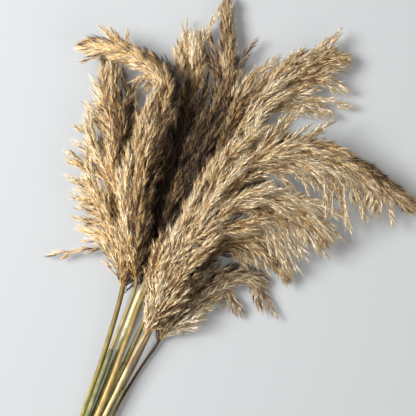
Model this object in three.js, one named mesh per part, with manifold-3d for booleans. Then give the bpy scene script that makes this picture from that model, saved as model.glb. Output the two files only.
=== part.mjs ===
// A cut bunch of nine dried, plumed grass stems, lying on a flat surface.
// Millimetres. +Z is up, the stems run along -Y and the plumes along +Y.
// The origin is the middle of the bunch's footprint, on the surface that it lies on.

import * as THREE from 'three';
import { mergeVertices } from 'three/addons/utils/BufferGeometryUtils.js';
import Module from 'manifold-3d';

const wasm = await Module();
wasm.setup();

// ---- sizes ----------------------------------------------------------------------------------

const CLEARANCE = 0.3; // kept between pieces that touch
const STEM_SIDES = 10;
const NODE_SWELL = 0.45; // how far a node ring stands out of its stem
const NODE_HALF_LENGTH = 2.2;
const BORE_SHARE = 0.55; // width of the hollow in a cut end, as a share of the stem
const BORE_DEPTH = 9;
const STEM_IN_PLUME = 22; // how far a stem runs up inside its plume

const SHEATH_WALL = 0.7;
const SHEATH_SIDES = 9;
const SHEATH_SLANT = 7; // how much further the sheath's mouth reaches on one side

const WAIST = new THREE.Vector2(-62, -65); // where the stems are bunched tightest
const FOOT_DRIFT = 0.4; // sideways run of the stems for each millimetre below the waist
const FOOT_FAN = 0.45; // how much wider the bunch is at the feet than at the waist

const PLUME_SIDES = 12;
const PLUME_STATIONS = 16;
const PLUME_FLATNESS = 0.5; // height of a plume's section, as a share of its width
const PLUME_RUFFLE = 0.12; // how far the tufts stand out of a plume's smooth shape
const PLUME_FOOT = 4.5; // radius where a plume starts on its stem
const BRANCH_SIDES = 7;
const BRANCH_STATIONS = 5;
const BRANCH_FLATNESS = 0.55;

const GOLD = { color: 0xb9924a, roughness: 0.55, metalness: 0 };
const OLIVE = { color: 0x9a8b4c, roughness: 0.55, metalness: 0 };
const BROWN = { color: 0x6b4a2a, roughness: 0.6, metalness: 0 };
const SHEATH_GREEN = { color: 0xa7a479, roughness: 0.7, metalness: 0 };
const PLUME_GOLD = { color: 0xa98556, roughness: 0.95, metalness: 0 };
const PLUME_BROWN = { color: 0x8d6c45, roughness: 0.95, metalness: 0 };
const PLUME_CREAM = { color: 0xc9b08a, roughness: 0.95, metalness: 0 };
const PLUME_GREY = { color: 0xa3947f, roughness: 0.95, metalness: 0 };

// Each stem: its place in the pile at the waist, its radius at the foot and at the top, its
// cut end's distance below the waist, the points that it passes through above the waist, the
// height of its top, the distances of its node rings from the cut end, and its sheath.
const STEMS = [
  {
    pile: [-1.5, 0], radius: [3.3, 2.9], foot: 88, top: 16, nodes: [58, 208], look: OLIVE,
    through: [[-52, 0], [-34, 50], [-10, 129]],
  },
  {
    pile: [-1, 1], radius: [2.1, 1.7], foot: 96, top: 24, nodes: [64], look: BROWN,
    through: [[-46, 0], [-20, 71], [8, 144]],
    sheath: { from: 70, to: 248 },
  },
  {
    pile: [-0.5, 0], radius: [3.4, 3.1], foot: 80, top: 10, nodes: [50, 241], look: GOLD,
    through: [[-39, 0], [-7, 84], [13, 136]],
  },
  {
    pile: [-0.5, 2], radius: [2.9, 2.6], foot: 92, top: 28, nodes: [78, 252], look: GOLD,
    through: [[-34, 0], [-1, 86], [17, 133]],
  },
  {
    pile: [0, 1], radius: [2.4, 2.1], foot: 100, top: 17, nodes: [70], look: OLIVE,
    through: [[-32, 0], [2.5, 72], [21, 112]],
    sheath: { from: 76, to: 238 },
  },
  {
    pile: [0.5, 0], radius: [2.2, 1.8], foot: 84, top: 7, nodes: [66, 200], look: GOLD,
    through: [[-28, 0], [1, 64], [19, 103]],
  },
  {
    pile: [0.5, 2], radius: [2.4, 2.1], foot: 76, top: 25, nodes: [52, 186], look: GOLD,
    through: [[-25, 0], [5, 62], [17, 84]],
  },
  {
    pile: [1, 1], radius: [2.2, 1.8], foot: 94, top: 14, nodes: [60], look: GOLD,
    through: [[-20, 0], [9.5, 58], [22, 85]],
    sheath: { from: 66, to: 200 },
  },
  {
    pile: [1.5, 0], radius: [2, 1.6], foot: 72, top: 6, nodes: [46], look: BROWN,
    through: [[-16, 0], [14.5, 50], [31, 74]],
    sheath: { from: 52, to: 150 },
  },
];

// Each plume: the points that its axis passes through above the stem, its half widths from foot
// to tip, and its side branches, each with the share of the axis that it leaves at, the place of
// its tip and its radius. The plumes are listed in the order in which they lie, topmost first.
const PLUMES = [
  {
    stem: 4, look: PLUME_CREAM, ruffle: 0.4,
    axis: [[35, 163, 36], [68, 203, 46], [98, 243, 55], [133, 278, 60], [178, 294, 58],
      [224, 288, 51], [262, 276, 43], [292, 256, 33], [323, 240, 24]],
    widths: [8, 15, 22, 29, 33, 31, 22, 14, 10, 4],
    branches: [
      [0.36, [150, 336, 56], 11], [0.46, [194, 338, 54], 12], [0.54, [226, 322, 50], 12],
      [0.44, [212, 262, 42], 11], [0.5, [238, 248, 36], 11], [0.6, [256, 207, 32], 10],
      [0.68, [273, 222, 30], 9], [0.76, [288, 224, 26], 8], [0.78, [303, 216, 24], 8],
    ],
  },
  {
    stem: 7, look: PLUME_CREAM, ruffle: 1.7,
    axis: [[39, 125, 32], [61, 175, 41], [94, 222, 46], [142, 246, 46], [188, 236, 39],
      [228, 204, 28]],
    widths: [7, 16, 25, 31, 32, 27, 17, 4],
    branches: [
      [0.7, [246, 224, 32], 11], [0.66, [244, 200, 26], 8], [0.62, [229, 182, 24], 7],
      [0.6, [213, 191, 24], 10], [0.58, [206, 178, 22], 7], [0.52, [199, 164, 20], 8],
    ],
  },
  {
    stem: 2, look: PLUME_BROWN, ruffle: 2.9,
    axis: [[7, 190, 34], [8, 240, 44], [19, 290, 50], [35, 335, 50], [45, 366, 47],
      [33, 389, 42], [11, 402, 37], [-12, 411, 32], [-32, 416, 28], [-51, 414, 24]],
    widths: [7, 11, 15, 19, 20, 17, 14, 12, 10, 8, 3],
    branches: [
      [0.7, [8, 384, 34], 8], [0.82, [-30, 430, 30], 7], [0.82, [-52, 402, 22], 5],
    ],
  },
  {
    stem: 8, look: PLUME_CREAM, ruffle: 4.1,
    axis: [[40, 122, 21], [60, 163, 29], [91, 198, 33], [126, 204, 30], [158, 186, 22],
      [182, 158, 14]],
    widths: [6, 14, 21, 26, 25, 18, 11, 3],
    branches: [
      [0.6, [164, 163, 16], 9], [0.48, [150, 172, 16], 9],
    ],
  },
  {
    stem: 1, look: PLUME_GOLD, ruffle: 5.3,
    axis: [[-3, 165, 21], [-6, 205, 26], [-11, 251, 27], [-13, 307, 26], [-18, 358, 20],
      [-20, 405, 14]],
    widths: [7, 15, 26, 37, 42, 38, 30, 19, 5],
    branches: [
      [0.12, [-92, 181, 8], 4], [0.12, [-56, 222, 16], 11], [0.22, [-62, 250, 16], 11],
      [0.28, [-66, 270, 16], 12], [0.36, [-68, 298, 16], 13], [0.46, [-58, 328, 14], 11],
      [0.54, [-46, 350, 13], 11], [0.62, [-40, 380, 12], 11], [0.56, [24, 352, 20], 12],
      [0.62, [10, 384, 16], 12],
    ],
  },
  {
    stem: 6, look: PLUME_CREAM, ruffle: 0.9,
    axis: [[36, 140, 12], [62, 190, 17], [87, 240, 18], [112, 304, 18], [145, 351, 18],
      [184, 381, 19], [222, 402, 18], [246, 404, 14]],
    widths: [6, 13, 21, 28, 33, 32, 26, 6],
    branches: [
      [0.42, [126, 386, 16], 10], [0.5, [154, 394, 18], 11], [0.62, [196, 413, 18], 11],
      [0.78, [239, 431, 18], 9], [0.8, [252, 373, 14], 9], [0.6, [216, 362, 14], 10],
      [0.62, [255, 353, 12], 6],
    ],
  },
  {
    stem: 5, look: PLUME_BROWN, ruffle: 2.2,
    axis: [[37, 150, 16], [56, 206, 18], [73, 262, 18], [90, 306, 17], [104, 345, 16],
      [112, 400, 15], [109, 468, 13]],
    widths: [6, 15, 22, 25, 23, 18, 11, 7, 2],
    branches: [
      [0.66, [141, 423, 13], 5], [0.6, [128, 392, 14], 10], [0.62, [96, 430, 14], 10],
    ],
  },
  {
    stem: 3, look: PLUME_GOLD, ruffle: 3.6,
    axis: [[28, 172, 12], [36, 215, 15], [46, 262, 16], [60, 322, 17], [70, 378, 16],
      [76, 428, 13]],
    widths: [7, 17, 25, 29, 31, 32, 27, 6],
    branches: [
      [0.66, [57, 420, 14], 10], [0.72, [67, 441, 13], 8], [0.74, [87, 436, 12], 10],
      [0.76, [99, 458, 12], 5], [0.6, [48, 400, 15], 10],
    ],
  },
  {
    stem: 9, look: PLUME_GREY, ruffle: 4.8,
    axis: [[43, 98, 10], [66, 124, 14], [98, 147, 13], [128, 156, 10], [152, 148, 8]],
    widths: [6, 14, 24, 27, 22, 14, 8, 3],
    branches: [
      [0.22, [68, 160, 16], 10], [0.34, [104, 174, 15], 10], [0.3, [84, 112, 7], 9],
      [0.42, [108, 132, 7], 9], [0.58, [133, 114, 7], 6], [0.74, [171, 113, 7], 8],
    ],
  },
];

// ---- solids ---------------------------------------------------------------------------------

/** A manifold solid from a closed three.js geometry. */
function solidOf(geometry) {
  geometry.deleteAttribute('normal');
  geometry.deleteAttribute('uv');
  const merged = mergeVertices(geometry, 1e-4);
  const index = merged.getIndex().array;
  const triangles = [];
  for (let i = 0; i < index.length; i += 3) {
    const [a, b, c] = [index[i], index[i + 1], index[i + 2]];
    if (a !== b && b !== c && c !== a) {
      triangles.push(a, b, c);
    }
  }
  const mesh = new wasm.Mesh({
    numProp: 3,
    vertProperties: new Float32Array(merged.getAttribute('position').array),
    triVerts: new Uint32Array(triangles),
  });
  return new wasm.Manifold(mesh);
}

/** The three.js geometry of a manifold solid. */
function geometryOf(solid) {
  const mesh = solid.getMesh();
  const geometry = new THREE.BufferGeometry();
  const positions = new Float32Array(mesh.numVert * 3);
  for (let i = 0; i < mesh.numVert; i += 1) {
    for (let k = 0; k < 3; k += 1) {
      positions[3 * i + k] = mesh.vertProperties[mesh.numProp * i + k];
    }
  }
  geometry.setAttribute('position', new THREE.BufferAttribute(positions, 3));
  geometry.setIndex(new THREE.BufferAttribute(new Uint32Array(mesh.triVerts), 1));
  return geometry;
}

/** The biggest of the bodies that a cut leaves. */
function biggestBody(solid) {
  const bodies = solid.decompose();
  bodies.sort((a, b) => b.volume() - a.volume());
  return bodies[0];
}

/**
 * Lays a lathe shape along a curve. The lathe's height runs from 0 to 1 along the curve, and
 * shape() turns a place on its section into offsets to the side of the curve and above it.
 */
function bend(lathe, curve, shape) {
  const up = new THREE.Vector3(0, 0, 1);
  const position = lathe.getAttribute('position');
  for (let i = 0; i < position.count; i += 1) {
    const [across, share, above] = shape(position.getX(i), position.getY(i), position.getZ(i));
    const inside = THREE.MathUtils.clamp(share, 0, 1);
    const tangent = curve.getTangentAt(inside);
    const side = tangent.clone().cross(up).normalize();
    const rise = side.clone().cross(tangent);
    const point = curve.getPointAt(inside);
    point.addScaledVector(tangent, (share - inside) * curve.getLength());
    point.addScaledVector(side, across);
    point.addScaledVector(rise, above);
    position.setXYZ(i, point.x, point.y, point.z);
  }
  return lathe;
}

const round = (across, share, above) => [across, share, above];

/** The value at share (0 to 1) of a list of evenly spaced values. */
function along(values, share) {
  const place = THREE.MathUtils.clamp(share, 0, 1) * (values.length - 1);
  const before = Math.min(Math.floor(place), values.length - 2);
  return THREE.MathUtils.lerp(values[before], values[before + 1], place - before);
}

// ---- stems and sheaths ----------------------------------------------------------------------

const sheathBore = (stem) => Math.max(...stem.radius) + CLEARANCE;
const sheathRadius = (stem) => sheathBore(stem) + SHEATH_WALL;
const outerRadius = (stem) => Math.max(
  stem.radius[0] + NODE_SWELL,
  stem.sheath ? sheathRadius(stem) : 0,
);
const widest = Math.max(...STEMS.map(outerRadius));
const PILE_PITCH = 2 * widest + CLEARANCE;
const LAYER_RISE = PILE_PITCH * Math.sin(Math.PI / 3);

/** Height of a pile layer's stem axes above the surface. */
const layerHeight = (layer) => widest + layer * LAYER_RISE;

/** Where a stem leaves the open and runs on inside its plume. */
const stemTop = (stem) => new THREE.Vector3(stem.through[2][0], stem.through[2][1], stem.top);

/** The end of a stem, inside its plume. */
function stemEnd(stem) {
  const plume = PLUMES.find((candidate) => STEMS[candidate.stem - 1] === stem);
  const onward = new THREE.Vector3(...plume.axis[0]).sub(stemTop(stem)).normalize();
  return stemTop(stem).addScaledVector(onward, STEM_IN_PLUME);
}

/** The axis of a stem, from its cut end to its end inside the plume. */
function stemAxis(stem) {
  const [place, layer] = stem.pile;
  const z = layerHeight(layer);
  const waistX = WAIST.x + place * PILE_PITCH;
  const footX = WAIST.x - FOOT_DRIFT * stem.foot + place * PILE_PITCH * (1 + FOOT_FAN);
  const [low, middle] = stem.through;
  const points = [
    new THREE.Vector3(footX, WAIST.y - stem.foot, z),
    new THREE.Vector3(waistX, WAIST.y, z),
    new THREE.Vector3(low[0], low[1], z),
    new THREE.Vector3(middle[0], middle[1], THREE.MathUtils.lerp(z, stem.top, 0.45)),
    stemTop(stem),
    stemEnd(stem),
  ];
  return new THREE.CatmullRomCurve3(points, false, 'centripetal');
}

/** The axis of a plume: it carries on from the top of its stem. */
function plumeAxis(plume) {
  const stem = STEMS[plume.stem - 1];
  const onward = plume.axis.map((p) => new THREE.Vector3(...p));
  const points = [stemTop(stem), stemEnd(stem), ...onward];
  return new THREE.CatmullRomCurve3(points, false, 'centripetal');
}

/** One stem: a tapering cane with node rings and a hollow cut end, wider by grow all round. */
function stemSolid(stem, grow) {
  const curve = stemAxis(stem);
  const length = curve.getLength();
  const radiusAt = (distance) => along(stem.radius, distance / length) + grow;
  const distances = [0];
  for (let d = 25; d < length - 10; d += 25) {
    if (stem.nodes.every((node) => Math.abs(node - d) > 2 * NODE_HALF_LENGTH)) {
      distances.push(d);
    }
  }
  for (const node of stem.nodes) {
    distances.push(node - NODE_HALF_LENGTH, node, node + NODE_HALF_LENGTH);
  }
  distances.push(length);
  distances.sort((a, b) => a - b);

  const profile = [];
  if (grow > 0) {
    profile.push(new THREE.Vector2(0, -grow / length));
  } else {
    const bore = radiusAt(0) * BORE_SHARE;
    profile.push(new THREE.Vector2(0, BORE_DEPTH / length));
    profile.push(new THREE.Vector2(bore, BORE_DEPTH / length));
    profile.push(new THREE.Vector2(bore, 0));
  }
  for (const d of distances) {
    const swell = stem.nodes.includes(d) ? NODE_SWELL : 0;
    let share = d / length;
    if (d === 0) share -= grow / length;
    if (d === length) share += grow / length;
    profile.push(new THREE.Vector2(radiusAt(d) + swell, share));
  }
  profile.push(new THREE.Vector2(0, 1 + grow / length));
  return solidOf(bend(new THREE.LatheGeometry(profile, STEM_SIDES), curve, round));
}

/** One leaf sheath: an open sleeve around its stem, with a slanted mouth. */
function sheathSolid(stem, grow) {
  const curve = stemAxis(stem);
  const length = curve.getLength();
  const { from, to } = stem.sheath;
  const outer = sheathRadius(stem);
  const stations = 8;
  const profile = [];
  for (let i = 0; i <= stations; i += 1) {
    const distance = THREE.MathUtils.lerp(from - grow, to + grow, i / stations);
    const mouth = i === stations ? 0.25 : 0;
    profile.push(new THREE.Vector2(outer - mouth + grow, distance / length));
  }
  for (let i = stations; i >= 0; i -= 1) {
    const distance = THREE.MathUtils.lerp(from - grow, to + grow, i / stations);
    profile.push(new THREE.Vector2(sheathBore(stem) - grow, distance / length));
  }
  profile.push(profile[0].clone());
  const slanted = (across, share, above) => {
    const start = (to - 25) / length;
    const end = to / length;
    const reach = THREE.MathUtils.clamp((share - start) / (end - start), 0, 1);
    const lean = (across / outer) * (SHEATH_SLANT / 2) * reach;
    return [across, share + lean / length, above];
  };
  return solidOf(bend(new THREE.LatheGeometry(profile, SHEATH_SIDES), curve, slanted));
}

// ---- plumes ---------------------------------------------------------------------------------

/** Presses a shape flat where it would go below the surface. */
function layFlat(geometry, floor) {
  const position = geometry.getAttribute('position');
  for (let i = 0; i < position.count; i += 1) {
    position.setZ(i, Math.max(position.getZ(i), floor));
  }
  return geometry;
}

/** One tapering side branch, which leaves the plume's axis along it and bows to its tip. */
function branchSolid(axis, [share, tip, radius], grow) {
  const start = axis.getPointAt(share);
  const end = new THREE.Vector3(...tip);
  const reach = start.distanceTo(end);
  const bow = start.clone().addScaledVector(axis.getTangentAt(share), reach * 0.4);
  const curve = new THREE.QuadraticBezierCurve3(start, bow, end);
  const profile = [new THREE.Vector2(0, 0)];
  for (let i = 0; i <= BRANCH_STATIONS; i += 1) {
    const place = i / BRANCH_STATIONS;
    const taper = 1 - 0.85 * place ** 1.8;
    profile.push(new THREE.Vector2(radius * taper + grow, place * (1 - 0.04)));
  }
  profile.push(new THREE.Vector2(0, 1 + grow / reach));
  const flat = (across, place, above) => [across, place, above * BRANCH_FLATNESS];
  const lathe = new THREE.LatheGeometry(profile, BRANCH_SIDES);
  return solidOf(layFlat(bend(lathe, curve, flat), -grow));
}

/** One plume: a flattened, tufted spindle along its axis, with its side branches. */
function plumeSolid(plume, grow) {
  const axis = plumeAxis(plume);
  const length = axis.getLength();
  const profile = [new THREE.Vector2(0, -grow / length)];
  for (let i = 0; i <= PLUME_STATIONS; i += 1) {
    const share = i / PLUME_STATIONS;
    const width = i === 0 ? PLUME_FOOT : along(plume.widths, share);
    profile.push(new THREE.Vector2(width + grow, share * (1 - 0.012)));
  }
  profile.push(new THREE.Vector2(0, 1 + grow / length));
  const tufted = (across, share, above) => {
    const angle = Math.atan2(above, across);
    const station = share * PLUME_STATIONS;
    const tufts = Math.sin(2.3 * station + 3 * angle + plume.ruffle)
      + Math.sin(1.1 * station - 2 * angle + 2 * plume.ruffle);
    const swell = share > 0.02 && share < 0.98 ? 1 + 0.5 * PLUME_RUFFLE * tufts : 1;
    const height = THREE.MathUtils.lerp(1, PLUME_FLATNESS, Math.min(1, share * 6));
    return [across * swell, share, above * swell * height];
  };
  const lathe = new THREE.LatheGeometry(profile, PLUME_SIDES);
  let solid = solidOf(layFlat(bend(lathe, axis, tufted), -grow));
  for (const branch of plume.branches) {
    solid = solid.add(branchSolid(axis, branch, grow));
  }
  return solid;
}

// ---- the bunch ------------------------------------------------------------------------------

const bunch = new THREE.Group();
bunch.name = 'pampas_grass_bunch';

function addPiece(name, solid, look) {
  const mesh = new THREE.Mesh(geometryOf(solid), new THREE.MeshStandardMaterial(look));
  mesh.name = name;
  bunch.add(mesh);
}

let taken = null; // room that the stems, the sheaths and the plumes laid on so far take up
const take = (solid) => {
  taken = taken ? taken.add(solid) : solid;
};

STEMS.forEach((stem, i) => {
  addPiece(`stem_${i + 1}`, stemSolid(stem, 0), stem.look);
  take(stemSolid(stem, CLEARANCE));
  if (stem.sheath) {
    addPiece(`sheath_${i + 1}`, sheathSolid(stem, 0), SHEATH_GREEN);
    take(sheathSolid(stem, CLEARANCE));
  }
});

for (const plume of PLUMES) {
  const solid = biggestBody(plumeSolid(plume, 0).subtract(taken));
  addPiece(`plume_${plume.stem}`, solid, plume.look);
  take(plumeSolid(plume, CLEARANCE));
}

// The origin is the middle of the footprint, on the surface.
const box = new THREE.Box3().setFromObject(bunch);
const middle = box.getCenter(new THREE.Vector3());
bunch.position.set(-middle.x, -middle.y, -box.min.z);

export default bunch;
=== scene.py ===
"""The look of a cut bunch of dried, plumed grass that lies on a table.

Every plume is built from what a real one has: a cane that runs on as its axis, long side
branches, short twigs on them, and thousands of pointed florets with silky hairs. Each strand
carries a UV map, u from its root to its tip and v for its tone, and the materials paint it
from that.
"""

import math

import bpy
import numpy as np
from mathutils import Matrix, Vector


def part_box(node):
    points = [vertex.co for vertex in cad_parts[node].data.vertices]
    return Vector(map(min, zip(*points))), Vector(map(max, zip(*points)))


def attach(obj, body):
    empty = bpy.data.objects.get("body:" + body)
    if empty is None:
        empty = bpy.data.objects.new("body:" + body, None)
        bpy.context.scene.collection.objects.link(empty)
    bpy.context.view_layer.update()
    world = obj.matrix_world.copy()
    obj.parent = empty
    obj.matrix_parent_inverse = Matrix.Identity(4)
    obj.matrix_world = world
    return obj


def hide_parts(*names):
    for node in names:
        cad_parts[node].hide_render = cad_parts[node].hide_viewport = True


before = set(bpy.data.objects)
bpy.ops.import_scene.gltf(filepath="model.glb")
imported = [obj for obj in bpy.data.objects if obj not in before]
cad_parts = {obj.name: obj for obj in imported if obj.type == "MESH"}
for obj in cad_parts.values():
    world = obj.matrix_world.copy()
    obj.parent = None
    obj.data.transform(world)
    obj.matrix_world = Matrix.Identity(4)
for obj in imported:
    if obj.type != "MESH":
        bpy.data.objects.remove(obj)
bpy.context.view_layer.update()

MM = 0.001
UP = np.array([0.0, 0.0, 1.0])

# ---- the bunch's layout, in millimetres, as its solids are laid out ---------------------------

CLEARANCE = 0.3
NODE_SWELL = 0.45
SHEATH_WALL = 0.7
BORE_SHARE = 0.55
BORE_DEPTH = 9.0
STEM_IN_PLUME = 22.0
WAIST = (-62.0, -65.0)
FOOT_DRIFT = 0.4
FOOT_FAN = 0.45

# Each stem: place and layer in the pile, radius at foot and top, length below the waist,
# height of its top, the points that it passes through, its node rings and its sheath's span.
STEMS = {
    1: dict(pile=(-1.5, 0), radius=(3.3, 2.9), foot=88, top=16, nodes=(58, 208),
            through=((-52, 0), (-34, 50), (-10, 129)), look="olive"),
    2: dict(pile=(-1, 1), radius=(2.1, 1.7), foot=96, top=24, nodes=(64,),
            through=((-46, 0), (-20, 71), (8, 144)), look="brown", sheath=(70, 248)),
    3: dict(pile=(-0.5, 0), radius=(3.4, 3.1), foot=80, top=10, nodes=(50, 241),
            through=((-39, 0), (-7, 84), (13, 136)), look="straw"),
    4: dict(pile=(-0.5, 2), radius=(2.9, 2.6), foot=92, top=28, nodes=(78, 252),
            through=((-34, 0), (-1, 86), (17, 133)), look="gold"),
    5: dict(pile=(0, 1), radius=(2.4, 2.1), foot=100, top=17, nodes=(70,),
            through=((-32, 0), (2.5, 72), (21, 112)), look="olive", sheath=(76, 238)),
    6: dict(pile=(0.5, 0), radius=(2.2, 1.8), foot=84, top=7, nodes=(66, 200),
            through=((-28, 0), (1, 64), (19, 103)), look="gold"),
    7: dict(pile=(0.5, 2), radius=(2.4, 2.1), foot=76, top=25, nodes=(52, 186),
            through=((-25, 0), (5, 62), (17, 84)), look="straw"),
    8: dict(pile=(1, 1), radius=(2.2, 1.8), foot=94, top=14, nodes=(60,),
            through=((-20, 0), (9.5, 58), (22, 85)), look="gold", sheath=(66, 200)),
    9: dict(pile=(1.5, 0), radius=(2, 1.6), foot=72, top=6, nodes=(46,),
            through=((-16, 0), (14.5, 50), (31, 74)), look="brown", sheath=(52, 150)),
}

# Each plume: the points that its axis passes through above the stem, its half widths from
# foot to tip, its tufts' tips (share of the axis that they leave at, place, radius), which way
# its branch ends fall, its tone, the painted shade along its length where its neighbours shade
# it (painted light where it is below zero), and the painted shade and light that change its
# tone from its left to its right side.
PLUMES = {
    4: dict(
        axis=((35, 163, 36), (68, 203, 46), (98, 243, 55), (133, 278, 60), (178, 294, 58),
              (224, 288, 51), (262, 276, 43), (292, 256, 33), (323, 240, 24)),
        widths=(8, 15, 22, 29, 33, 31, 22, 14, 10, 4),
        tufts=((0.36, (150, 336, 56), 11), (0.46, (194, 338, 54), 12),
               (0.54, (226, 322, 50), 12), (0.44, (212, 262, 42), 11),
               (0.50, (238, 248, 36), 11), (0.60, (256, 207, 32), 10), (0.68, (273, 222, 30), 9),
               (0.76, (288, 224, 26), 8), (0.78, (303, 216, 24), 8)),
        fall=(4, -8, -2), tone=0.72, look="cream", seed=4,
        shade=(0.2, 0.06, 0, 0.08, 0.36), flank_shade=0.14),
    7: dict(
        axis=((39, 125, 32), (61, 175, 41), (94, 222, 46), (142, 246, 46), (188, 236, 39),
              (228, 204, 28)),
        widths=(7, 16, 25, 31, 32, 27, 17, 4),
        tufts=((0.70, (246, 224, 32), 11), (0.66, (244, 200, 26), 8), (0.62, (229, 182, 24), 7),
               (0.60, (213, 191, 24), 10), (0.58, (206, 178, 22), 7), (0.52, (199, 164, 20), 8)),
        fall=(4, -9, -2), tone=0.78, look="cream", seed=7,
        shade=(0.14, 0.08, 0.02, 0, 0.04), flank_shade=-0.16),
    2: dict(
        axis=((7, 190, 34), (8, 240, 44), (19, 290, 50), (35, 335, 50), (45, 366, 47),
              (33, 389, 42), (11, 402, 37), (-12, 411, 32), (-32, 416, 28), (-51, 414, 24)),
        widths=(7, 11, 15, 19, 20, 17, 14, 12, 10, 8, 3),
        tufts=((0.70, (8, 384, 34), 8), (0.82, (-30, 430, 30), 7), (0.82, (-52, 402, 22), 5)),
        fall=(-4, 0, -1), tone=0.48, look="gold", seed=2,
        shade=(0.15, 0.1, 0.12, 0.25, 0.14, 0.06), flank_shade=-0.28),
    8: dict(
        axis=((40, 122, 21), (60, 163, 29), (91, 198, 33), (126, 204, 30), (158, 186, 22),
              (182, 158, 14)),
        widths=(6, 14, 21, 26, 25, 18, 11, 3),
        tufts=((0.60, (164, 163, 16), 9), (0.48, (150, 172, 16), 9)),
        fall=(3, -8, -2), tone=0.77, look="cream", seed=8,
        shade=(0.2, 0.4, 0.24, 0, -0.02), flank_shade=-0.45),
    1: dict(
        axis=((-3, 165, 21), (-6, 205, 26), (-11, 251, 27), (-13, 307, 26), (-18, 358, 20),
              (-20, 405, 14)),
        widths=(7, 15, 26, 37, 42, 38, 30, 19, 5),
        tufts=((0.12, (-92, 181, 8), 4), (0.12, (-56, 222, 16), 11), (0.22, (-62, 250, 16), 11),
               (0.28, (-66, 270, 16), 12), (0.36, (-68, 298, 16), 13),
               (0.46, (-58, 328, 14), 11), (0.54, (-46, 350, 13), 11),
               (0.62, (-40, 380, 12), 11), (0.56, (24, 352, 20), 12), (0.62, (10, 384, 16), 12)),
        fall=(-3, 1, -1), tone=0.44, look="gold", seed=1,
        shade=(0.12, 0.06, 0.04, -0.08, -0.36), flank_shade=-0.24),
    6: dict(
        axis=((36, 140, 12), (62, 190, 17), (87, 240, 18), (112, 304, 18), (145, 351, 18),
              (184, 381, 19), (222, 402, 18), (246, 404, 14)),
        widths=(6, 13, 21, 28, 33, 32, 26, 6),
        tufts=((0.42, (126, 386, 16), 10), (0.50, (154, 394, 18), 11),
               (0.62, (196, 413, 18), 11), (0.78, (239, 431, 18), 9), (0.80, (252, 373, 14), 9),
               (0.60, (216, 362, 14), 10), (0.62, (255, 353, 12), 6)),
        fall=(5, -4, -1), tone=0.74, look="cream", seed=6,
        shade=(0.46, 0.38, 0.22, 0, -0.04), flank_shade=0.1),
    5: dict(
        axis=((37, 150, 16), (56, 206, 18), (73, 262, 18), (90, 306, 17), (104, 345, 16),
              (112, 400, 15), (109, 468, 13)),
        widths=(6, 15, 22, 25, 23, 18, 11, 7, 2),
        tufts=((0.66, (141, 423, 13), 5), (0.60, (128, 392, 14), 10), (0.62, (96, 430, 14), 10)),
        fall=(2, 2, -1), tone=0.68, look="brown", seed=5,
        shade=(0.7, 0.7, 0.7, 0.64, 0.16, 0), flank_shade=0),
    3: dict(
        axis=((28, 172, 12), (36, 215, 15), (46, 262, 16), (60, 322, 17), (70, 378, 16),
              (76, 428, 13)),
        widths=(7, 17, 25, 29, 31, 32, 27, 6),
        tufts=((0.66, (57, 420, 14), 10), (0.72, (67, 441, 13), 8), (0.74, (87, 436, 12), 10),
               (0.76, (99, 458, 12), 5), (0.60, (48, 400, 15), 10)),
        fall=(-2, 3, -1), tone=0.9, look="cream", seed=3,
        shade=(0.82, 0.82, 0.82, 0.66, 0.15, 0), flank_shade=0),
    9: dict(
        axis=((43, 98, 10), (66, 124, 14), (98, 147, 13), (128, 156, 10), (152, 148, 8)),
        widths=(6, 14, 24, 27, 22, 14, 8, 3),
        tufts=((0.22, (68, 160, 16), 10), (0.34, (104, 174, 15), 10), (0.30, (84, 112, 7), 9),
               (0.42, (108, 132, 7), 9), (0.58, (133, 114, 7), 6), (0.74, (171, 113, 7), 8)),
        fall=(3, -4, -1), tone=0.65, look="grey", seed=9,
        shade=(-0.08, 0.05, 0.25, 0.25, 0.05), flank_shade=0.28),
}

# ---- curves ----------------------------------------------------------------------------------


def unit(v):
    """v, or each row of v, at length 1."""
    v = np.asarray(v, float)
    return v / np.maximum(np.linalg.norm(v, axis=-1, keepdims=True), 1e-12)


def centripetal(points, per_span=24):
    """Points along the centripetal Catmull-Rom curve through points."""
    p = np.asarray(points, float)
    p = np.vstack([2 * p[0] - p[1], p, 2 * p[-1] - p[-2]])
    out = []
    for i in range(1, len(p) - 2):
        p0, p1, p2, p3 = p[i - 1], p[i], p[i + 1], p[i + 2]
        d0 = max(np.linalg.norm(p1 - p0) ** 0.5, 1e-4)
        d1 = max(np.linalg.norm(p2 - p1) ** 0.5, 1e-4)
        d2 = max(np.linalg.norm(p3 - p2) ** 0.5, 1e-4)
        m1 = ((p1 - p0) / d0 - (p2 - p0) / (d0 + d1) + (p2 - p1) / d1) * d1
        m2 = ((p2 - p1) / d1 - (p3 - p1) / (d1 + d2) + (p3 - p2) / d2) * d1
        t = np.linspace(0, 1, per_span, endpoint=False)[:, None]
        out.append((2 * t**3 - 3 * t**2 + 1) * p1 + (t**3 - 2 * t**2 + t) * m1
                   + (-2 * t**3 + 3 * t**2) * p2 + (t**3 - t**2) * m2)
    out.append(p[-2][None])
    return np.vstack(out)


class Path:
    """A curve with places, directions and a side and upper direction at any share of it."""

    def __init__(self, points):
        self.points = centripetal(points)
        steps = np.linalg.norm(np.diff(self.points, axis=0), axis=1)
        self.run = np.concatenate([[0.0], np.cumsum(steps)])
        self.length = self.run[-1]
        self.share = self.run / self.length
        self.tangents = unit(np.gradient(self.points, self.run, axis=0))

    def at(self, share):
        """(places, tangents, sides, uppers) at these shares of the length."""
        share = np.clip(np.atleast_1d(share), 0, 1)
        place = np.stack([np.interp(share, self.share, self.points[:, k]) for k in range(3)], 1)
        tangent = unit(np.stack([np.interp(share, self.share, self.tangents[:, k])
                                 for k in range(3)], 1))
        side = unit(np.cross(tangent, UP))
        upper = np.cross(side, tangent)
        return place, tangent, side, upper


def sheath_bore(stem):
    """Inner radius of a stem's sheath."""
    return max(stem["radius"]) + CLEARANCE


def outer_radius(stem):
    """Widest radius of a stem with its sheath."""
    sheathed = sheath_bore(stem) + SHEATH_WALL if "sheath" in stem else 0
    return max(stem["radius"][0] + NODE_SWELL, sheathed)


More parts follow.
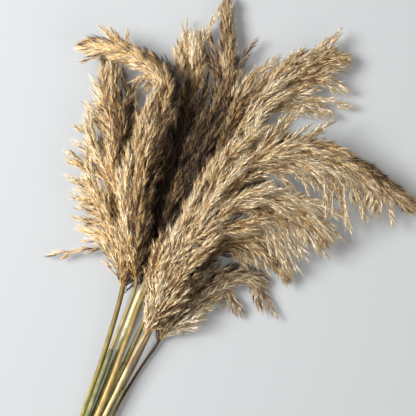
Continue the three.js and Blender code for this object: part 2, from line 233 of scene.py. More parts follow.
WIDEST = max(outer_radius(s) for s in STEMS.values())
PILE_PITCH = 2 * WIDEST + CLEARANCE
LAYER_RISE = PILE_PITCH * math.sin(math.pi / 3)


def stem_top(n):
    """Where the plume starts on its cane."""
    stem = STEMS[n]
    return np.array([*stem["through"][2], stem["top"]], float)


def stem_end(n):
    """Where the cane ends inside its plume."""
    top = stem_top(n)
    onward = unit(np.array(PLUMES[n]["axis"][0], float) - top)
    return top + onward * STEM_IN_PLUME


def stem_path(n):
    stem = STEMS[n]
    place, layer = stem["pile"]
    z = WIDEST + layer * LAYER_RISE
    waist_x = WAIST[0] + place * PILE_PITCH
    foot_x = WAIST[0] - FOOT_DRIFT * stem["foot"] + place * PILE_PITCH * (1 + FOOT_FAN)
    low, middle = stem["through"][:2]
    return Path([
        (foot_x, WAIST[1] - stem["foot"], z),
        (waist_x, WAIST[1], z),
        (low[0], low[1], z),
        (middle[0], middle[1], z + (stem["top"] - z) * 0.45),
        stem_top(n),
        stem_end(n),
    ])


def plume_path(n):
    return Path([stem_top(n), stem_end(n), *PLUMES[n]["axis"]])


# The row's frame: the stray strand's tip is the left-most point of plume 1, and plume 5's tip
# the furthest point of the bunch along +Y.
SHIFT = np.array([
    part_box("plume_1")[0].x / MM - PLUMES[1]["tufts"][0][1][0],
    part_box("plume_5")[1].y / MM - PLUMES[5]["axis"][-1][1],
    0.0,
])

# ---- meshes ----------------------------------------------------------------------------------


def make_piece(name, verts, faces, uvs, material, replaces=()):
    """A mesh piece in the row's frame. verts are in millimetres, uvs one pair per face corner."""
    verts = (np.asarray(verts, float) + SHIFT) * MM
    mesh = bpy.data.meshes.new(name)
    totals = np.full(len(faces), faces.shape[1])
    mesh.vertices.add(len(verts))
    mesh.vertices.foreach_set("co", verts.astype(np.float32).ravel())
    mesh.loops.add(faces.size)
    mesh.loops.foreach_set("vertex_index", faces.ravel().astype(np.int32))
    mesh.polygons.add(len(totals))
    starts = np.concatenate([[0], np.cumsum(totals)[:-1]])
    mesh.polygons.foreach_set("loop_start", starts.astype(np.int32))
    mesh.polygons.foreach_set("loop_total", totals.astype(np.int32))
    mesh.polygons.foreach_set("use_smooth", np.ones(len(totals), bool))
    layer = mesh.uv_layers.new(name="OFBake")
    layer.data.foreach_set("uv", np.asarray(uvs, np.float32).ravel())
    mesh.update()
    mesh.validate()
    mesh.materials.append(material)
    piece = bpy.data.objects.new(name, mesh)
    bpy.context.scene.collection.objects.link(piece)
    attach(piece, "root")
    if replaces:
        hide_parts(*replaces)


def across(direction, rng):
    """A random direction at right angles to each row of direction."""
    spin = rng.normal(size=direction.shape)
    spin -= direction * (spin * direction).sum(1, keepdims=True)
    return unit(spin)


SPIN = np.array([0.0, 2 * math.pi / 3, 4 * math.pi / 3])
TONE_HALF = 0.012


def strands(verts, faces, corner_u, corner_v, tone):
    """The meshes of many strands of one kind, verts holding a row of points for each."""
    count, points = verts.shape[:2]
    all_faces = (faces[None] + (np.arange(count) * points)[:, None, None]).reshape(-1, 3)
    u = np.broadcast_to(corner_u[faces][None], (count, *faces.shape))
    v = tone[:, None, None] + corner_v[faces][None]
    return verts.reshape(-1, 3), all_faces, np.stack([u, v], -1).reshape(-1, 2)


def spindles(root, direction, bow, length, width, tone, rng):
    """Closed pointed strands: (verts, faces, uvs). bow is how far each one's middle bows out."""
    side = across(direction, rng)
    other = np.cross(direction, side)
    middle = root + direction * (length * 0.4)[:, None] + bow
    ring = [middle + side * (math.cos(a) * 0.5 * width)[:, None]
            + other * (math.sin(a) * 0.35 * width)[:, None] for a in SPIN]
    tip = root + direction * length[:, None]
    verts = np.stack([root, *ring, tip], 1)
    faces = np.array([(0, 2, 1), (0, 3, 2), (0, 1, 3), (4, 1, 2), (4, 2, 3), (4, 3, 1)])
    corner_u = np.array([0.0, 0.4, 0.4, 0.4, 1.0])
    corner_v = np.array([0.0, -TONE_HALF, TONE_HALF, 0.0, 0.0])
    return strands(verts, faces, corner_u, corner_v, tone)


def hairs(root, direction, length, width, tone, rng):
    """Closed three-sided needles, for silky hairs and twigs: (verts, faces, uvs)."""
    side = across(direction, rng)
    other = np.cross(direction, side)
    ring = [root + side * (math.cos(a) * 0.5 * width)[:, None]
            + other * (math.sin(a) * 0.5 * width)[:, None] for a in SPIN]
    tip = root + direction * length[:, None]
    verts = np.stack([*ring, tip], 1)
    faces = np.array([(0, 2, 1), (0, 1, 3), (1, 2, 3), (2, 0, 3)])
    corner_u = np.array([0.0, 0.0, 0.06, 1.0])
    corner_v = np.array([-TONE_HALF, TONE_HALF, 0.0, 0.0])
    return strands(verts, faces, corner_u, corner_v, tone)


def tubes(lines, radii, tones, sides=4):
    """Closed tapering tubes along lines, each an array of points: (verts, faces, uvs)."""
    verts, faces, uvs = [], [], []
    base = 0
    for line, radius, tone in zip(lines, radii, tones):
        count = len(line)
        tangent = unit(np.gradient(line, axis=0))
        side = unit(np.cross(tangent, UP + 0.01))
        other = np.cross(side, tangent)
        angles = np.arange(sides) * 2 * math.pi / sides
        taper = np.interp(np.arange(count), [0, count - 1], [radius, radius * 0.4])
        ring = (line[:, None]
                + side[:, None] * (np.cos(angles)[None, :] * taper[:, None])[..., None]
                + other[:, None] * (np.sin(angles)[None, :] * taper[:, None])[..., None])
        verts += [ring.reshape(-1, 3), line[:1], line[-1:]]
        foot, tip = base + count * sides, base + count * sides + 1
        u = np.linspace(0.02, 0.98, count)
        v = tone + TONE_HALF * np.cos(angles)
        for i in range(sides):
            j = (i + 1) % sides
            a = base + np.arange(count - 1) * sides + i
            b = base + np.arange(count - 1) * sides + j
            faces.append(np.stack([a, b, b + sides], 1))
            faces.append(np.stack([a, b + sides, a + sides], 1))
            u0, u1 = u[:-1], u[1:]
            vi, vj = np.full(count - 1, v[i]), np.full(count - 1, v[j])
            uvs.append(np.stack([u0, vi, u0, vj, u1, vj], 1).reshape(-1, 2))
            uvs.append(np.stack([u0, vi, u1, vj, u1, vi], 1).reshape(-1, 2))
            faces.append(np.array([[foot, base + j, base + i]]))
            uvs.append(np.array([[0.0, tone], [0.02, v[j]], [0.02, v[i]]]))
            last = base + (count - 1) * sides
            faces.append(np.array([[tip, last + i, last + j]]))
            uvs.append(np.array([[1.0, tone], [0.98, v[i]], [0.98, v[j]]]))
        base += count * sides + 2
    return np.vstack(verts), np.vstack(faces), np.vstack(uvs)


# ---- plumes ----------------------------------------------------------------------------------


def width_at(widths, share):
    """Half width of a plume at a share of its axis."""
    return np.interp(share, np.linspace(0, 1, len(widths)), widths)


FLATNESS = 0.5
TIP_ROOM = 15.0  # what the last twigs and florets add to a branch's end
GOLDEN = math.pi * (3 - math.sqrt(5))
ALONG = np.linspace(0, 1, 14)
OUTER_SILK, INNER_SILK = 8, 2  # silky hairs on each floret
FOOT_BRANCHES = 18  # short ones round the foot of a plume
FLORETS = 4  # on each twig
HUSKS = 0.35  # share of the florets that are darker
HUSK_DARK = 0.36
MATES = 5  # branches that grow side by side in one spray
SHADED, SHADED_DARK = 0.22, 0.30  # share of the sprays that are darker, and by how much
INNER_PAINTED_SHADE = 0.24  # painted shade: how much darker the branches inside a plume are painted
UPPER_PAINTED_LIGHT = 0.13  # painted light: how much paler the florets on a plume's upper side are painted, as if lit from above
TIP_TONE = 0.20  # how much paler a branch gets from its root to its tip
LOOK_AHEAD = 16.0  # a twig points at where its branch is going
TWIG_LEAN, FOOT_LEAN = 20, 30  # the most that a twig leans off its branch, in degrees
FIRST_TWIG = 0.03  # share of a branch that is bare at its root
BRANCH_RADIUS, TWIG_WIDTH = 0.5, 0.6
MOST_FACES = 190_000  # triangles in one piece


def side_branch(plume, path, start, end, angle, spread):
    """Points of a branch that leaves the axis at start and ends beside it at end."""
    share = start + (end - start) * ALONG
    place, _, side, upper = path.at(share)
    flare = 0.55 * (1 - (1 - ALONG) ** 2) + 0.45 * ALONG**1.6
    radial = width_at(plume["widths"], share) * spread * flare
    height = np.interp(share, [0, 1 / 6], [1, FLATNESS])
    points = (place + side * (math.cos(angle) * radial)[:, None]
              + upper * (math.sin(angle) * radial * height)[:, None])
    return points + np.array(plume["fall"], float) * (ALONG[:, None] ** 2.6) * start


def base_tone(plume, share, angle):
    """A plume's tone at a place, with painted light and shade: its upper side is painted pale as if
    lit from above, and what its neighbours shade and its shaded side are painted dark.
    """
    shade = np.interp(share, np.linspace(0, 1, len(plume["shade"])), plume["shade"])
    return plume["tone"] - shade + UPPER_PAINTED_LIGHT * math.sin(angle) + plume["flank_shade"] * math.cos(angle)


def side_branches(n, rng):
    """The side branches of a plume: (points, twig size, tone at the root, hairs on a floret,
    most lean of a twig)."""
    plume = PLUMES[n]
    path = plume_path(n)
    room = 1.0 - TIP_ROOM / path.length
    out = []
    sprays = int(path.length / 14)
    for i in range(sprays):
        start = (i + 0.3 + 0.4 * rng.random()) / sprays * (room - 0.04)
        reach = rng.uniform(80, 115) / path.length * (1 - 0.4 * start)
        angle = i * GOLDEN + rng.normal(0, 0.2)
        spread = rng.uniform(0.72, 0.98)
        tone = base_tone(plume, start + reach / 2, angle) + rng.normal(0, 0.08)
        if rng.random() < SHADED:
            tone -= SHADED_DARK
        for mate in range(MATES):
            near = rng.normal(0, 1, 3) * (mate > 0)
            first = max(0.0, start + 0.012 * near[0])
            last = min(room, first + reach * (1 if mate == 0 else rng.uniform(0.6, 1.0)))
            points = side_branch(plume, path, first, last, angle + 0.12 * near[1],
                                 spread * (1 - 0.10 * abs(near[2])))
            out.append((points, 1.0 - 0.35 * start, tone + rng.normal(0, 0.05), OUTER_SILK,
                        TWIG_LEAN))
    inner = int(path.length / 9)
    for i in range(inner):
        start = (i + rng.random()) / inner * (room - 0.06)
        last = min(room, start + rng.uniform(60, 90) / path.length * (1 - 0.4 * start))
        angle = i * GOLDEN + 1.0
        points = side_branch(plume, path, start, last, angle, rng.uniform(0.1, 0.55))
        # the inner branches are painted darker, as painted shade inside the plume
        tone = base_tone(plume, start + 0.1, angle) - INNER_PAINTED_SHADE
        out.append((points, 1.0 - 0.3 * start, tone + rng.normal(0, 0.05), INNER_SILK,
                    TWIG_LEAN))
    for i in range(FOOT_BRANCHES):
        start = max(0.0, 0.07 * (i + rng.random()) / FOOT_BRANCHES - 0.005)
        last = start + rng.uniform(30, 50) / path.length
        angle = i * GOLDEN
        points = side_branch(plume, path, start, last, angle, rng.uniform(0.6, 1.1))
        tone = base_tone(plume, start, angle) + rng.normal(0.05, 0.05)
        out.append((points, 0.8, tone, OUTER_SILK, FOOT_LEAN))
    for share, tip, radius in plume["tufts"]:
        place, tangent, _, _ = path.at(share)
        away = np.array(tip, float) - place[0]
        reach = np.linalg.norm(away)
        end = place[0] + away * (1 - TIP_ROOM * 0.8 / reach)
        # a tuft's tone drops most of the plume's painted shade and light from side to side
        tone = base_tone(plume, share, 0.5) - plume["flank_shade"] + rng.normal(0.04, 0.05)
        for mate in range(1 if radius < 6 else MATES):
            shake = rng.normal(size=3) * (0.4 * radius, 0.4 * radius, 0.2 * radius) * (mate > 0)
            stop = end - away * (rng.uniform(0.05, 0.35) if mate else 0) + 0.8 * shake
            bow = place[0] + tangent[0] * reach * 0.42 + shake
            t = ALONG[:, None]
            points = (1 - t) ** 2 * place[0] + 2 * t * (1 - t) * bow + t**2 * stop
            out.append((points, 0.75, tone + rng.normal(0, 0.04), OUTER_SILK, TWIG_LEAN))
    return path, out


def twigs_of(branches, rng):
    """Short twigs on the side branches: arrays of root, direction, length, tone and silk."""
    out = []
    for points, size, tone, silk, most_lean in branches:
        last = unit(points[-1] - points[-2])
        curve = np.vstack([points, points[-1] + last * LOOK_AHEAD])
        run = np.concatenate([[0], np.cumsum(np.linalg.norm(np.diff(curve, axis=0), axis=1))])
        length = run[-2]
        count = max(4, int(length / 5.5))
        share = np.linspace(FIRST_TWIG, 1.0, count)
        share[:-1] += rng.uniform(-0.02, 0.02, count - 1)
        place, ahead = (np.stack([np.interp(share * length + d, run, curve[:, k])
                                  for k in range(3)], 1) for d in (0, LOOK_AHEAD))
        heading = unit(ahead - place)
        lean = np.radians(rng.uniform(9, most_lean, count))
        lean[-1] = math.radians(3)
        aside = across(heading, rng)
        aside[:, 2] *= 0.7
        direction = unit(heading * np.cos(lean)[:, None] + aside * np.sin(lean)[:, None])
        out.append((place, direction, rng.uniform(15, 23, count) * size * (1 - 0.35 * share**2),
                    tone + TIP_TONE * share + rng.normal(0, 0.10, count), np.full(count, silk)))
    return [np.concatenate(column) for column in zip(*out)]


def florets_of(roots, directions, lengths, tones, rng):
    """Florets along the twigs: arrays of root, direction, length, width, bow and tone."""
    shares = np.linspace(0.1, 1.0, FLORETS)
    root = roots[:, None] + directions[:, None] * (lengths[:, None] * shares)[..., None]
    root = root.reshape(-1, 3)
    count = len(root)
    direction = np.repeat(directions, FLORETS, axis=0)
    last = np.tile(shares == 1.0, len(roots))
    lean = np.radians(rng.uniform(4, 15, count))
    lean[last] = np.radians(rng.uniform(0, 5, last.sum()))
    out = across(direction, rng)
    direction = unit(direction * np.cos(lean)[:, None] + out * np.sin(lean)[:, None])
    length = rng.uniform(9, 14, count)
    width = rng.uniform(1.2, 2.3, count)
    bow = -out * (length * rng.uniform(0.0, 0.05, count))[:, None]
    husk = rng.random(count) < HUSKS
    tone = np.repeat(tones, FLORETS) + rng.normal(0, 0.06, count) - HUSK_DARK * husk
    return root, direction, length, width, bow, tone


def silk_of(florets, silk, rng):
    """Silky hairs out of the florets: arrays of root, direction, length, width and tone."""
    f_root, f_direction, f_length, _, _, f_tone = florets
    count = silk.sum()
    at = rng.uniform(0.05, 0.7, count)
    root = np.repeat(f_root, silk, axis=0)
    root = root + np.repeat(f_direction * f_length[:, None], silk, axis=0) * at[:, None]
    direction = np.repeat(f_direction, silk, axis=0)
    lean = np.radians(rng.uniform(4, 28, count))
    direction = unit(direction * np.cos(lean)[:, None]
                     + across(direction, rng) * np.sin(lean)[:, None])
    tone = np.repeat(f_tone, silk) + rng.normal(0.06, 0.08, count)
    return root, direction, rng.uniform(6, 11, count), rng.uniform(0.18, 0.32, count), tone


PRESS = 3.0  # the height above the surface at which strands start to bend along it


def lay_flat(points, floor=0.4):
    """Points that would go below the surface are pressed up onto it."""
    points = points.copy()
    low = points[:, 2] < floor + PRESS
    points[low, 2] = floor + PRESS * np.exp((points[low, 2] - floor - PRESS) / PRESS)
    return points


def in_parts(count, faces_each):
    """Slices that share count strands out among pieces of at most MOST_FACES triangles."""
    parts = math.ceil(count * faces_each / MOST_FACES)
    edges = np.linspace(0, count, parts + 1).astype(int)
    return [slice(a, b) for a, b in zip(edges[:-1], edges[1:])]


def in_range(tone):
    """Tones that a ramp's ends leave room for."""
    return np.clip(tone, 0.03, 0.97)


def build_plume(n, materials):
    """All the pieces of one plume: its florets, silk, branches and twigs."""
    plume = PLUMES[n]
    rng = np.random.default_rng(100 + plume["seed"])
    path, branches = side_branches(n, rng)
    branches = [(lay_flat(branch[0]), *branch[1:]) for branch in branches]
    *twigs, silk = twigs_of(branches, rng)
    florets = florets_of(*twigs, rng)
    look = plume["look"]

    *shape, tone = florets
    for k, part in enumerate(in_parts(len(tone), 6)):
        root, direction, length, width, bow = (values[part] for values in shape)
        verts, faces, uvs = spindles(root, direction, bow, length, width,
                                     in_range(tone[part]), rng)
        make_piece(f"plume_{n}_florets_{k + 1}", lay_flat(verts, 0.1), faces, uvs,
                   materials[look], replaces=(f"plume_{n}",))

    *shape, tone = silk_of(florets, np.repeat(silk, FLORETS), rng)
    for k, part in enumerate(in_parts(len(tone), 4)):
        verts, faces, uvs = hairs(*(values[part] for values in shape), in_range(tone[part]), rng)
        make_piece(f"plume_{n}_silk_{k + 1}", lay_flat(verts, 0.1), faces, uvs,
                   materials[look + "_hair"])

    shares = np.linspace(0, 1 - TIP_ROOM / path.length, 40)
    lines = [path.at(shares)[0]] + [branch[0] for branch in branches]
    radii = [STEMS[n]["radius"][1] * 0.8] + [BRANCH_RADIUS] * len(branches)
    tones = [0.5] + [in_range(branch[2]) for branch in branches]
    verts, faces, uvs = tubes(lines, radii, tones)
    make_piece(f"plume_{n}_branches", lay_flat(verts, 0.1), faces, uvs,
               materials["twig"])
    roots, directions, lengths, tones = twigs
    verts, faces, uvs = hairs(roots, directions, lengths, np.full(len(roots), TWIG_WIDTH),
                              in_range(tones), rng)
    make_piece(f"plume_{n}_twigs", lay_flat(verts, 0.1), faces, uvs, materials["twig"])


# ---- stems and sheaths -----------------------------------------------------------------------


def lathe_piece(name, path, stations, sides, ridges, material, replaces):
    """A closed skin round a path. stations are (share, radius), from one end to the other;
    ridges(angle, share) gives the skin's relief in millimetres."""
    shares = np.array([s for s, _ in stations])
    radii = np.array([r for _, r in stations])
    place, tangent, side, upper = path.at(shares)
    beyond = (shares - np.clip(shares, 0, 1)) * path.length
    place = place + tangent * beyond[:, None]
    angles = np.arange(sides) * 2 * math.pi / sides
    relief = np.where(radii[:, None] > 0.05, ridges(angles[None], shares[:, None]), 0)
    size = radii[:, None] + relief
    rings = (place[:, None]
             + side[:, None] * (np.cos(angles)[None] * size)[..., None]
             + upper[:, None] * (np.sin(angles)[None] * size)[..., None])
    verts = rings.reshape(-1, 3)
    count = len(shares)
    span = np.concatenate([[0], np.cumsum(np.hypot(np.diff(shares) * path.length,
                                                   np.diff(radii)))])
    u = span / span[-1]
    faces, uvs = [], []
    for i in range(sides):
        j = (i + 1) % sides
        a = np.arange(count - 1) * sides + i
        b = np.arange(count - 1) * sides + j
        faces.append(np.stack([a, b, b + sides, a + sides], 1))
        v0, v1 = i / sides, (i + 1) / sides
        uvs.append(np.stack([u[:-1], np.full(count - 1, v0), u[:-1], np.full(count - 1, v1),
                             u[1:], np.full(count - 1, v1), u[1:], np.full(count - 1, v0)],
                            1).reshape(-1, 2))
    faces = np.vstack(faces)
    uvs = np.vstack(uvs)
    make_piece(name, verts, faces, uvs, material, replaces)


STEM_SIDES, SHEATH_SIDES = 20, 28
CUT_ROUND = 0.25  # how much the edges of a cut foot are rounded
STATION_STEP = 3.0  # distance between a cane's rings
NODE_REACH, NODE_PINCH, PINCH_BEYOND, PINCH_REACH = 1.6, 0.12, 4.0, 2.0
RING_OFFSETS, RING_REACH = (-1.6, -0.8, 0.0, 0.8, 1.6), 1.2  # the close rings at each node
SHEATH_RINGS = 46
SHEATH_TAPER, TAPER_LENGTH = 0.35, 30.0  # a sheath's wall thins towards its upper edge
SHEATH_RIB = 0.10


def build_stem(n, material):
    """A cane with a hollow cut foot and node rings."""
    stem = STEMS[n]
    path = stem_path(n)
    length = path.length
    rng = np.random.default_rng(40 + n)
    foot, top = stem["radius"]
    bore = foot * BORE_SHARE
    head = [(BORE_DEPTH / length, 0.02), (BORE_DEPTH / length, bore * 0.9),
            (0.4 / length, bore), (0.0, bore + CUT_ROUND),
            (0.0, foot - CUT_ROUND), (0.35 / length, foot)]
    body = []
    for distance in np.arange(STATION_STEP, length - 1, STATION_STEP):
        radius = foot + (top - foot) * distance / length
        for node in stem["nodes"]:
            beyond = distance - node - PINCH_BEYOND
            radius += NODE_SWELL * math.exp(-((distance - node) / NODE_REACH) ** 2)
            radius -= NODE_PINCH * math.exp(-(beyond / PINCH_REACH) ** 2)
        body.append((distance / length, radius))
    for node in stem["nodes"]:
        for offset in RING_OFFSETS:
            radius = foot + (top - foot) * node / length
            radius += NODE_SWELL * math.exp(-(offset / RING_REACH) ** 2)
            body.append(((node + offset) / length, radius))
    stations = head + sorted(body) + [(1.0, top), (1.0, 0.02)]
    phase = rng.uniform(0, 6.28, 3)

    def ridges(angle, share):
        return (0.05 * np.sin(9 * angle + phase[0]) + 0.04 * np.sin(3 * angle + phase[1]
                + 5 * share)) * np.ones_like(share)

    lathe_piece(f"stem_{n}_cane", path, stations, STEM_SIDES, ridges, material,
                (f"stem_{n}",))


def build_sheath(n, material):
    """A thin ribbed sleeve round a cane, open at both ends."""
    stem = STEMS[n]
    path = stem_path(n)
    length = path.length
    low, high = stem["sheath"]
    inner = sheath_bore(stem)
    outer = inner + SHEATH_WALL
    steps = np.linspace(low, high, SHEATH_RINGS)
    stations = [(s / length,
                 outer - SHEATH_TAPER * max(0, (s - high + TAPER_LENGTH) / TAPER_LENGTH))
                for s in steps]
    stations += [(s / length, inner) for s in steps[::-1]]
    stations.append(stations[0])

    def ridges(angle, share):
        return SHEATH_RIB * np.abs(np.sin(7 * angle)) * np.ones_like(share)

    lathe_piece(f"sheath_{n}_leaf", path, stations, SHEATH_SIDES, ridges, material,
                (f"sheath_{n}",))


# ---- materials -------------------------------------------------------------------------------


def ramp(nodes, stops):
    """A colour ramp node with these (position, linear colour) stops."""
    node = nodes.new("ShaderNodeValToRGB")
    elements = node.color_ramp.elements
    elements[0].position, elements[0].color = stops[0][0], (*stops[0][1], 1)
    elements[1].position, elements[1].color = stops[-1][0], (*stops[-1][1], 1)
    for position, color in stops[1:-1]:
        element = elements.new(position)
        element.color = (*color, 1)
    return node


def linear(code):
    """Linear RGB of an sRGB hex colour."""
    values = [int(code[i:i + 2], 16) / 255 for i in (0, 2, 4)]
    return tuple(v / 12.92 if v <= 0.04045 else ((v + 0.055) / 1.055) ** 2.4 for v in values)


def multiplied(nodes, links, first, second):
    """The product of two colours."""
    mix = nodes.new("ShaderNodeMix")
    mix.data_type = "RGBA"
    mix.blend_type = "MULTIPLY"
    mix.inputs["Factor"].default_value = 1.0
    links.new(first, mix.inputs["A"])
    links.new(second, mix.inputs["B"])
    return mix.outputs["Result"]


def mottled(nodes, links, uv, colour, scale, darkest, palest):
    """colour times a noise, stretched by scale over (u, v), that runs from darkest to palest."""
    stretch = nodes.new("ShaderNodeMapping")
    stretch.inputs["Scale"].default_value = scale
    links.new(uv.outputs["UV"], stretch.inputs["Vector"])
    noise = nodes.new("ShaderNodeTexNoise")
    noise.noise_dimensions = "2D"
    noise.inputs["Scale"].default_value = 1.0
    noise.inputs["Detail"].default_value = 2.0
    links.new(stretch.outputs["Vector"], noise.inputs["Vector"])
    level = nodes.new("ShaderNodeMapRange")
    level.inputs["From Min"].default_value = 0.3
    level.inputs["From Max"].default_value = 0.7
    level.inputs["To Min"].default_value = darkest
    level.inputs["To Max"].default_value = palest
    links.new(noise.outputs["Fac"], level.inputs["Value"])
    return multiplied(nodes, links, colour, level.outputs["Result"])


def painted_material(name, stops, channel, roughness, specular):
    """(material, nodes, links, shader, uv, split, colour): a material with a ramp over u or v."""
    material = bpy.data.materials.new(name)
    material.use_nodes = True
    nodes, links = material.node_tree.nodes, material.node_tree.links
    shader = nodes["Principled BSDF"]
    shader.inputs["Roughness"].default_value = roughness
    shader.inputs["Specular IOR Level"].default_value = specular
    uv = nodes.new("ShaderNodeUVMap")
    uv.uv_map = "OFBake"
    split = nodes.new("ShaderNodeSeparateXYZ")
    links.new(uv.outputs["UV"], split.inputs[0])
    colour = ramp(nodes, [(p, linear(c)) for p, c in stops])
    links.new(split.outputs[channel], colour.inputs["Fac"])
    return material, nodes, links, shader, uv, split, colour


def strand_material(name, tones, along, roughness=0.85, sheen=0.07, streaks=0.25):
    """tones: colour by v, the strand's tone. along: shade by u, from root to tip."""
    material, nodes, links, shader, uv, split, tone = painted_material(
        name, tones, "Y", roughness, 0.25)
    shader.inputs["Sheen Weight"].default_value = sheen
    shade = ramp(nodes, [(p, (s, s, s)) for p, s in along])
    links.new(split.outputs["X"], shade.inputs["Fac"])
    shaded = multiplied(nodes, links, tone.outputs["Color"], shade.outputs["Color"])
    painted = mottled(nodes, links, uv, shaded, (3.0, 60.0, 1.0),
                      1.0 - streaks, 1.0 + streaks * 0.5)
    links.new(painted, shader.inputs["Base Color"])
    return material


# The noises on a cane: scale over (u, v), darkest and palest.
CANE_STREAKS = ((8.0, 16.0, 1.0), 0.5, 1.25)
CANE_BLOTCHES = ((34.0, 3.0, 1.0), 0.66, 1.16)


def cane_material(name, along, roughness=0.5):
    """along: colours from the cut end to the plume."""
    material, nodes, links, shader, uv, _, colour = painted_material(
        name, along, "X", roughness, 0.3)
    painted = colour.outputs["Color"]
    for scale, darkest, palest in (CANE_STREAKS, CANE_BLOTCHES):
        painted = mottled(nodes, links, uv, painted, scale, darkest, palest)
    links.new(painted, shader.inputs["Base Color"])
    return material


TIP_SHADE = [(0.0, 0.2), (0.4, 0.8), (1.0, 1.0)]
HAIR_SHADE = [(0.0, 0.55), (1.0, 1.0)]
MATERIALS = {
    "cream": strand_material("floret_cream", [
        (0.0, "1C1008"), (0.25, "6C4724"), (0.5, "C49762"), (0.75, "F0D09C"), (1.0, "FDEBCC")],
        TIP_SHADE),
    "gold": strand_material("floret_gold", [
        (0.0, "201206"), (0.25, "6C4419"), (0.5, "BE8E4E"), (0.75, "EAC68A"), (1.0, "FAE8C4")],
        TIP_SHADE),
    "brown": strand_material("floret_brown", [
        (0.0, "1E1008"), (0.25, "5E3B1C"), (0.5, "A67A46"), (0.75, "DAB680"), (1.0, "F5E3BF")],
        TIP_SHADE),
    "grey": strand_material("floret_grey", [
        (0.0, "2A1B10"), (0.25, "6E4F30"), (0.5, "B38F63"), (0.75, "E2C79C"), (1.0, "F8EBD3")],
        TIP_SHADE),
    "twig": strand_material("twig", [
        (0.0, "2E1C0C"), (0.5, "A6773A"), (1.0, "D9B370")], [(0.0, 0.9), (1.0, 1.0)], 0.6, 0.0),
}
for look, dark, pale in (("cream", "6E4820", "F8D89E"), ("gold", "704820", "F2D49C"),
                         ("brown", "5A3C20", "E0BF8C"), ("grey", "6E5434", "EAD6B4")):
    MATERIALS[look + "_hair"] = strand_material(look + "_silk", [
        (0.0, "20140A"), (0.22, dark), (0.55, pale), (1.0, "FFF0D2")], HAIR_SHADE, 0.6, 0.12, 0.1)

# Colours of each stem by share of its length, from its cut end to its plume.
CUT = [(0.0, "CDBE90"), (0.035, "CDBE90")]
STEM_LOOKS = {
    1: [(0.04, "7D7845"), (0.45, "857F48"), (0.66, "837237"), (0.8, "75652F"), (0.95, "6A5526")],
    2: [(0.04, "6E6238"), (0.6, "7A6D3A"), (0.8, "96813F"), (0.95, "7E6A34")],
    3: [(0.04, "8B8859"), (0.72, "9A9668"), (0.755, "A59C70"), (0.765, "DDCFA2"), (0.95, "D4C08E")],
    4: [(0.04, "9F8850"), (0.5, "AE9458"), (0.66, "AB8F54"), (0.75, "8A7440"), (0.95, "715C30")],
    5: [(0.04, "8F8C5A"), (0.6, "A29C66"), (0.8, "ADA26A"), (0.95, "9C8A50")],
    6: [(0.04, "93804A"), (0.5, "A68F50"), (0.75, "8C7440"), (0.95, "7C6030")],
    7: [(0.04, "C2AC74"), (0.6, "CDB886"), (0.74, "D2BE8E"), (0.8, "8C744C"), (0.86, "B8A070"),
        (0.95, "8C744C")],
    8: [(0.04, "9A8A50"), (0.6, "A8965A"), (0.8, "7C6236"), (0.95, "6A4E2A")],
    9: [(0.04, "5C4424"), (0.5, "644826"), (0.8, "503820"), (0.95, "422C18")],
}
CANES = {n: cane_material(f"cane_{n}", CUT + stops) for n, stops in STEM_LOOKS.items()}
SHEATHS = {n: cane_material(f"leaf_sheath_{n}", stops, 0.6) for n, stops in {
    2: [(0.0, "6E6E4A"), (0.3, "75764F"), (0.5, "5F5F3E"), (0.52, "6A6646"), (1.0, "6A6646")],
    5: [(0.0, "A3A27A"), (0.3, "ABAA80"), (0.5, "B7AE84"), (0.52, "7A7350"), (1.0, "7A7350")],
    8: [(0.0, "8E906A"), (0.3, "9A9B74"), (0.5, "A59C74"), (0.52, "7A7350"), (1.0, "7A7350")],
    9: [(0.0, "7E7650"), (0.3, "857A52"), (0.5, "75643E"), (0.52, "6A6040"), (1.0, "6A6040")],
}.items()}

for n in STEMS:
    build_stem(n, CANES[n])
    if "sheath" in STEMS[n]:
        build_sheath(n, SHEATHS[n])
for n in PLUMES:
    build_plume(n, MATERIALS)

# ---- floor, light and camera -------------------------------------------------------------------

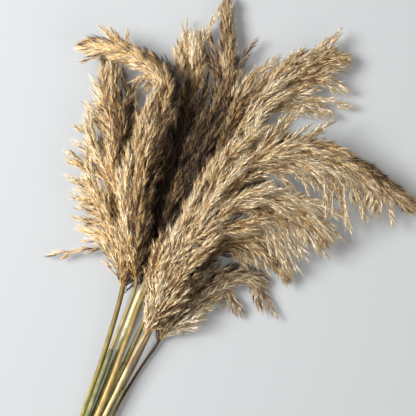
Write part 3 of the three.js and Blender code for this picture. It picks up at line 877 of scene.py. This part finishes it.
floor_mesh = bpy.data.meshes.new("floor")
floor_mesh.from_pydata([(-6, -6, 0), (6, -6, 0), (6, 6, 0), (-6, 6, 0)], [], [(0, 1, 2, 3)])
floor = bpy.data.objects.new("floor", floor_mesh)
bpy.context.scene.collection.objects.link(floor)
floor_material = bpy.data.materials.new("floor_paper")
floor_material.use_nodes = True
floor_shader = floor_material.node_tree.nodes["Principled BSDF"]
floor_shader.inputs["Base Color"].default_value = (0.255, 0.268, 0.283, 1)
# the floor also glows a little and evenly, which lightens the shadows that fall on it
floor_shader.inputs["Emission Color"].default_value = (1.0, 1.0, 1.0, 1)
floor_shader.inputs["Emission Strength"].default_value = 0.12
floor_shader.inputs["Roughness"].default_value = 0.9
floor_mesh.materials.append(floor_material)

world = bpy.data.worlds.new("studio")
world.use_nodes = True
world.node_tree.nodes["Background"].inputs["Color"].default_value = (1.0, 0.99, 0.97, 1)
world.node_tree.nodes["Background"].inputs["Strength"].default_value = 0.33
bpy.context.scene.world = world
bpy.context.scene.view_settings.view_transform = "Standard"


def area_light(name, place, target, size, watts, colour):
    """A square soft light at place, in metres, that faces target."""
    light = bpy.data.lights.new(name, "AREA")
    light.shape = "SQUARE"
    light.size = size
    light.energy = watts
    light.color = colour
    lamp = bpy.data.objects.new(name, light)
    bpy.context.scene.collection.objects.link(lamp)
    lamp.location = place
    heading = np.array(target, float) - np.array(place, float)
    lamp.rotation_euler = Vector(heading).to_track_quat("-Z", "Y").to_euler()


area_light("key", (-1.75, 0.55, 1.75), (0, 0, 0), 1.2, 166, (1.0, 0.985, 0.955))
area_light("fill", (1.7, -1.0, 1.7), (0.05, 0.05, 0), 1.6, 22, (1.0, 0.93, 0.82))

camera_data = bpy.data.cameras.new("camera")
camera = bpy.data.objects.new("camera", camera_data)
bpy.context.scene.collection.objects.link(camera)
bpy.context.scene.camera = camera
# The photograph's frame is about 468 mm square at the bunch's middle height.
FRAME = 468.0
MIDDLE = 40.0
DISTANCE = 1400.0
centre = (np.array([90.0, 231.0, MIDDLE]) + SHIFT) * MM
camera.location = (centre[0], centre[1], (MIDDLE + DISTANCE) * MM)
camera_data.lens = 36.0 * DISTANCE / FRAME
camera_data.sensor_width = 36.0
camera_data.clip_end = 50
